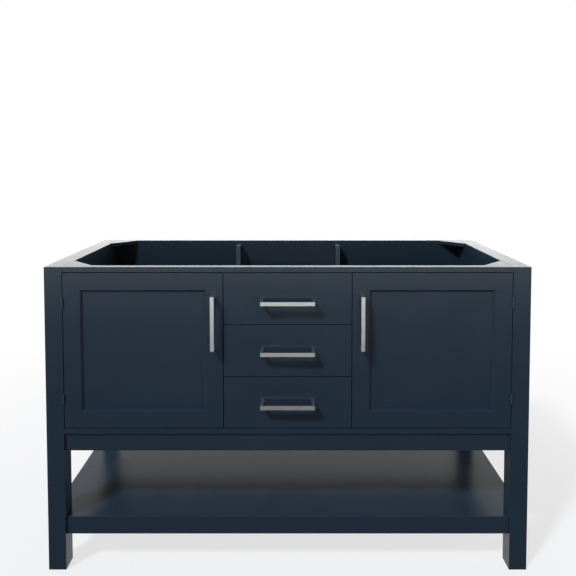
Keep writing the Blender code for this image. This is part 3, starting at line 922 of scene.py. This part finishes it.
BUMPER_X = 186.8 * MM             # from the cabinet's middle
BUMPER_ABOVE_FOOT = 18 * MM       # from the door's lower edge
BUMPER_BELOW_TOP = 92 * MM        # from its upper edge
STRIP_GAP = 0.5 * MM              # at each end of a stop strip
STRIP_FRONT = 3.5 * MM            # its front face, from the rail's rear face
STRIP_REAR = 0.1 * MM             # its rear face, from there
STRIP_DROP = 6 * MM               # how far it reaches below the rail
BRACE_SCREWS = ((50 * MM, 10 * MM), (10 * MM, 50 * MM), (22 * MM, 22 * MM))   # from the corner
BRAD_SPACING = 110 * MM
BRAD_MARGIN = 15 * MM             # from the back panel's upright edges
BRAD_BELOW_TOP = 12 * MM
BRAD_COLUMN_X = 182 * MM          # behind the partitions


def make_bumpers():
    """Soft pads on each door's back, where it meets its partition."""
    profile = [(0, 0), (3.0 * MM, 0), (3.0 * MM, 0.35 * MM), (2.2 * MM, 0.7 * MM), (0, 0.8 * MM)]
    for side, sign in SIDES.items():
        low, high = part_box(f"{side}_door_frame")
        mesh_bm = bmesh.new()
        for height in (low.z + BUMPER_ABOVE_FOOT, high.z - BUMPER_BELOW_TOP):
            pad = turned_bm(profile, 24, (sign * BUMPER_X, high.y + TOUCH, height), Y_AXIS)
            merge_into(mesh_bm, pad)
        new_piece(f"{side}_door_bumpers", mesh_bm, [SILICONE], f"{side}_door")


def make_stop_strips():
    """Slim strips behind the top rail that close the reveal above doors and drawers."""
    low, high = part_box("top_front_rail")
    left_low, left_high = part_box("left_partition")
    right_low, right_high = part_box("right_partition")
    spans = {
        "left": (low.x, left_low.x),
        "middle": (left_high.x, right_low.x),
        "right": (right_high.x, high.x),
    }
    for place, (start, end) in spans.items():
        strip = box_bm((start + STRIP_GAP, high.y - STRIP_FRONT, low.z - STRIP_DROP),
                       (end - STRIP_GAP, high.y - STRIP_REAR, low.z - TOUCH))
        piece = new_piece(f"{place}_stop_strip", strip, [PAINTS["X"]], "cabinet")
        soften(piece, FRAME_EDGE)


def make_brace_screws():
    """Screws up through each corner brace from below."""
    for row in ("front", "rear"):
        for side, sign in SIDES.items():
            low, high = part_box(f"{row}_{side}_brace")
            corner_x = low.x if sign < 0 else high.x
            corner_y = low.y if row == "front" else high.y
            inward_y = 1 if row == "front" else -1
            places = []
            for reach_x, reach_y in BRACE_SCREWS:
                x = corner_x - sign * reach_x
                places.append((x, corner_y + inward_y * reach_y, low.z - TOUCH))
            make_screws(f"{row}_{side}_brace_screws", places, -Z_AXIS, "cabinet",
                        ZINC, radius=3.6 * MM, height=2.0 * MM)


def brad_places():
    """Brads up the partitions, and along the cabinet floor and the top edge."""
    low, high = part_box("back_panel")
    floor_low, floor_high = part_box("cabinet_floor")
    floor_z = (floor_low.z + floor_high.z) / 2
    places = []
    for sign in (-1, 1):
        for index in range(1, round((high.z - floor_high.z) / BRAD_SPACING)):
            places.append((sign * BRAD_COLUMN_X, high.y, floor_z + index * BRAD_SPACING))
    width = high.x - low.x
    steps = round(width / BRAD_SPACING)
    for index in range(steps + 1):
        x = low.x + BRAD_MARGIN + index * (width - 2 * BRAD_MARGIN) / steps
        places.append((x, high.y, floor_z))
        places.append((x, high.y, high.z - BRAD_BELOW_TOP))
    return places


def make_back_brads():
    """Brad heads that fix the back panel to the partitions, floor and braces."""
    profile = [(0, -0.1 * MM), (1.6 * MM, -0.1 * MM), (1.5 * MM, 0.08 * MM), (0, 0.14 * MM)]
    mesh_bm = bmesh.new()
    for place in brad_places():
        merge_into(mesh_bm, turned_bm(profile, 16, place, Y_AXIS))
    new_piece("back_panel_brads", mesh_bm, [PAINTS["X"]], "cabinet")


# Camera, light and floor

def add_camera():
    data = bpy.data.cameras.new("Camera")
    data.lens = CAMERA_LENS
    data.sensor_width = SENSOR_WIDTH
    data.shift_x = CAMERA_SIDE_SHIFT
    data.shift_y = CAMERA_SHIFT
    data.dof.use_dof = False
    camera = bpy.data.objects.new("Camera", data)
    front_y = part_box("front_left_post")[0].y
    camera.location = (CAMERA_RIGHT, front_y - CAMERA_FORWARD, CAMERA_HEIGHT)
    camera.rotation_euler = (math.radians(90) - CAMERA_PITCH, 0, 0)
    bpy.context.scene.collection.objects.link(camera)
    bpy.context.scene.camera = camera


def add_key_light():
    data = bpy.data.lights.new("Key", "SUN")
    data.energy = KEY_STRENGTH
    data.angle = KEY_ANGLE
    data.color = KEY_COLOUR
    key = bpy.data.objects.new("Key", data)
    key.rotation_mode = "QUATERNION"
    key.rotation_quaternion = KEY_TRAVEL.to_track_quat("-Z", "Y")
    key.visible_glossy = False        # the softbox makes the highlights
    bpy.context.scene.collection.objects.link(key)


def add_softbox():
    """A wide soft screen in front, which shows only in reflections."""
    data = bpy.data.lights.new("Softbox", "AREA")
    data.shape = "RECTANGLE"
    data.size, data.size_y = SOFTBOX_WIDTH, SOFTBOX_HEIGHT
    data.energy = SOFTBOX_RADIANCE * math.pi * SOFTBOX_WIDTH * SOFTBOX_HEIGHT
    softbox = bpy.data.objects.new("Softbox", data)
    front_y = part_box("front_left_post")[0].y
    softbox.location = (0.0, front_y - SOFTBOX_DISTANCE, SOFTBOX_HEIGHT / 2)
    softbox.rotation_euler = (math.radians(90), 0, 0)
    softbox.visible_camera = False
    softbox.visible_diffuse = False
    bpy.context.scene.collection.objects.link(softbox)


# Radiance of the studio against the sine of the elevation, in front and behind
STUDIO_FRONT = [
    (-1.0, 0.03), (-0.21, 0.04), (-0.15, 0.40), (0.08, 0.38), (0.18, 0.05), (1.0, 0.03),
]
STUDIO_BACK = [
    (-1.0, 0.45), (-0.30, 0.70), (-0.04, 1.50), (0.13, 4.00), (0.175, 0.85),
    (0.28, 0.78), (0.46, 0.76), (0.62, 0.20), (1.0, 0.06),
]
STUDIO_STRENGTH = 2.0             # the ramps hold the radiance divided by this
STUDIO_BLEND = 0.35               # how softly the front turns into the back


def studio_ramp(tree, height, stops):
    """A grey ramp over the sine of the elevation."""
    scaled = tree.nodes.new("ShaderNodeMapRange")
    scaled.inputs["From Min"].default_value = -1.0
    scaled.inputs["From Max"].default_value = 1.0
    tree.links.new(height, scaled.inputs["Value"])
    grey = [((position + 1) / 2, (level / STUDIO_STRENGTH,) * 3) for position, level in stops]
    return colour_ramp(tree, scaled.outputs["Result"], grey)


def build_world():
    """A studio that is bright behind and darker low in front, with a plain backdrop."""
    world = bpy.data.worlds.new("Studio")
    bpy.context.scene.world = world
    world.use_nodes = True
    tree = world.node_tree
    tree.nodes.clear()
    place = tree.nodes.new("ShaderNodeTexCoord")
    split = tree.nodes.new("ShaderNodeSeparateXYZ")
    tree.links.new(place.outputs["Generated"], split.inputs["Vector"])
    front = studio_ramp(tree, split.outputs["Z"], STUDIO_FRONT)
    back = studio_ramp(tree, split.outputs["Z"], STUDIO_BACK)
    side = tree.nodes.new("ShaderNodeMapRange")
    side.interpolation_type = "SMOOTHSTEP"
    side.inputs["From Min"].default_value = -STUDIO_BLEND
    side.inputs["From Max"].default_value = STUDIO_BLEND
    tree.links.new(split.outputs["Y"], side.inputs["Value"])
    mix = tree.nodes.new("ShaderNodeMix")
    mix.data_type = "RGBA"
    tree.links.new(side.outputs["Result"], mix.inputs["Factor"])
    tree.links.new(front, mix.inputs["A"])
    tree.links.new(back, mix.inputs["B"])
    studio = tree.nodes.new("ShaderNodeBackground")
    studio.inputs["Strength"].default_value = STUDIO_STRENGTH
    tree.links.new(mix.outputs["Result"], studio.inputs["Color"])
    backdrop = tree.nodes.new("ShaderNodeBackground")
    backdrop.inputs["Color"].default_value = (*BACKDROP, 1.0)
    rays = tree.nodes.new("ShaderNodeLightPath")
    choose = tree.nodes.new("ShaderNodeMixShader")
    tree.links.new(rays.outputs["Is Camera Ray"], choose.inputs["Fac"])
    tree.links.new(studio.outputs["Background"], choose.inputs[1])
    tree.links.new(backdrop.outputs["Background"], choose.inputs[2])
    output = tree.nodes.new("ShaderNodeOutputWorld")
    tree.links.new(choose.outputs["Shader"], output.inputs["Surface"])


def make_floor_material():
    """A matt floor, lifted towards white only where it is seen directly."""
    material, tree, shader, place = start_material("studio_floor")
    shader.inputs["Roughness"].default_value = 0.9
    shader.inputs["Specular IOR Level"].default_value = 0.0
    rays = tree.nodes.new("ShaderNodeLightPath")
    grey = tree.nodes.new("ShaderNodeMapRange")
    grey.inputs["To Min"].default_value = FLOOR_BOUNCE
    grey.inputs["To Max"].default_value = FLOOR_WHITE
    tree.links.new(rays.outputs["Is Camera Ray"], grey.inputs["Value"])
    tree.links.new(grey.outputs["Result"], shader.inputs["Base Color"])
    distance = tree.nodes.new("ShaderNodeVectorMath")
    distance.operation = "LENGTH"
    tree.links.new(place, distance.inputs[0])
    fade = tree.nodes.new("ShaderNodeMapRange")
    fade.interpolation_type = "SMOOTHSTEP"
    fade.inputs["From Min"].default_value = FADE_START
    fade.inputs["From Max"].default_value = FADE_END
    fade.inputs["To Min"].default_value = FLOOR_GLOW
    tree.links.new(distance.outputs["Value"], fade.inputs["Value"])
    seen = tree.nodes.new("ShaderNodeMath")
    seen.operation = "MULTIPLY"
    tree.links.new(fade.outputs["Result"], seen.inputs[0])
    tree.links.new(rays.outputs["Is Camera Ray"], seen.inputs[1])
    glow = tree.nodes.new("ShaderNodeEmission")
    glow.inputs["Color"].default_value = (*BACKDROP, 1.0)
    mix = tree.nodes.new("ShaderNodeMixShader")
    tree.links.new(seen.outputs["Value"], mix.inputs["Fac"])
    tree.links.new(shader.outputs["BSDF"], mix.inputs[1])
    tree.links.new(glow.outputs["Emission"], mix.inputs[2])
    tree.links.new(mix.outputs["Shader"], tree.nodes["Material Output"].inputs["Surface"])
    return material


def add_floor():
    """A pale studio floor that fades into the backdrop away from the cabinet."""
    mesh_bm = bmesh.new()
    bmesh.ops.create_circle(mesh_bm, cap_ends=True, segments=96, radius=FLOOR_RADIUS)
    mesh = bpy.data.meshes.new("studio_floor")
    mesh_bm.to_mesh(mesh)
    mesh_bm.free()
    mesh.materials.append(make_floor_material())
    floor = bpy.data.objects.new("studio_floor", mesh)
    floor.location.z = -FLOOR_DROP
    floor.visible_glossy = False
    bpy.context.scene.collection.objects.link(floor)


def remove_startup_objects():
    """Clear what a new scene starts with."""
    for name in ("Cube", "Light", "Camera"):
        extra = bpy.data.objects.get(name)
        if extra is not None:
            bpy.data.objects.remove(extra)


remove_startup_objects()
bpy.context.scene.view_settings.view_transform = "Standard"
add_camera()
make_cabinet_boards()
make_back_panel()
make_shelf()
make_partitions()
make_drawer_fronts()
make_doors()
make_pulls()
make_hinges()
make_drawer_boxes()
make_slides()
make_bumpers()
make_stop_strips()
make_brace_screws()
make_back_brads()
add_key_light()
add_softbox()
build_world()
add_floor()
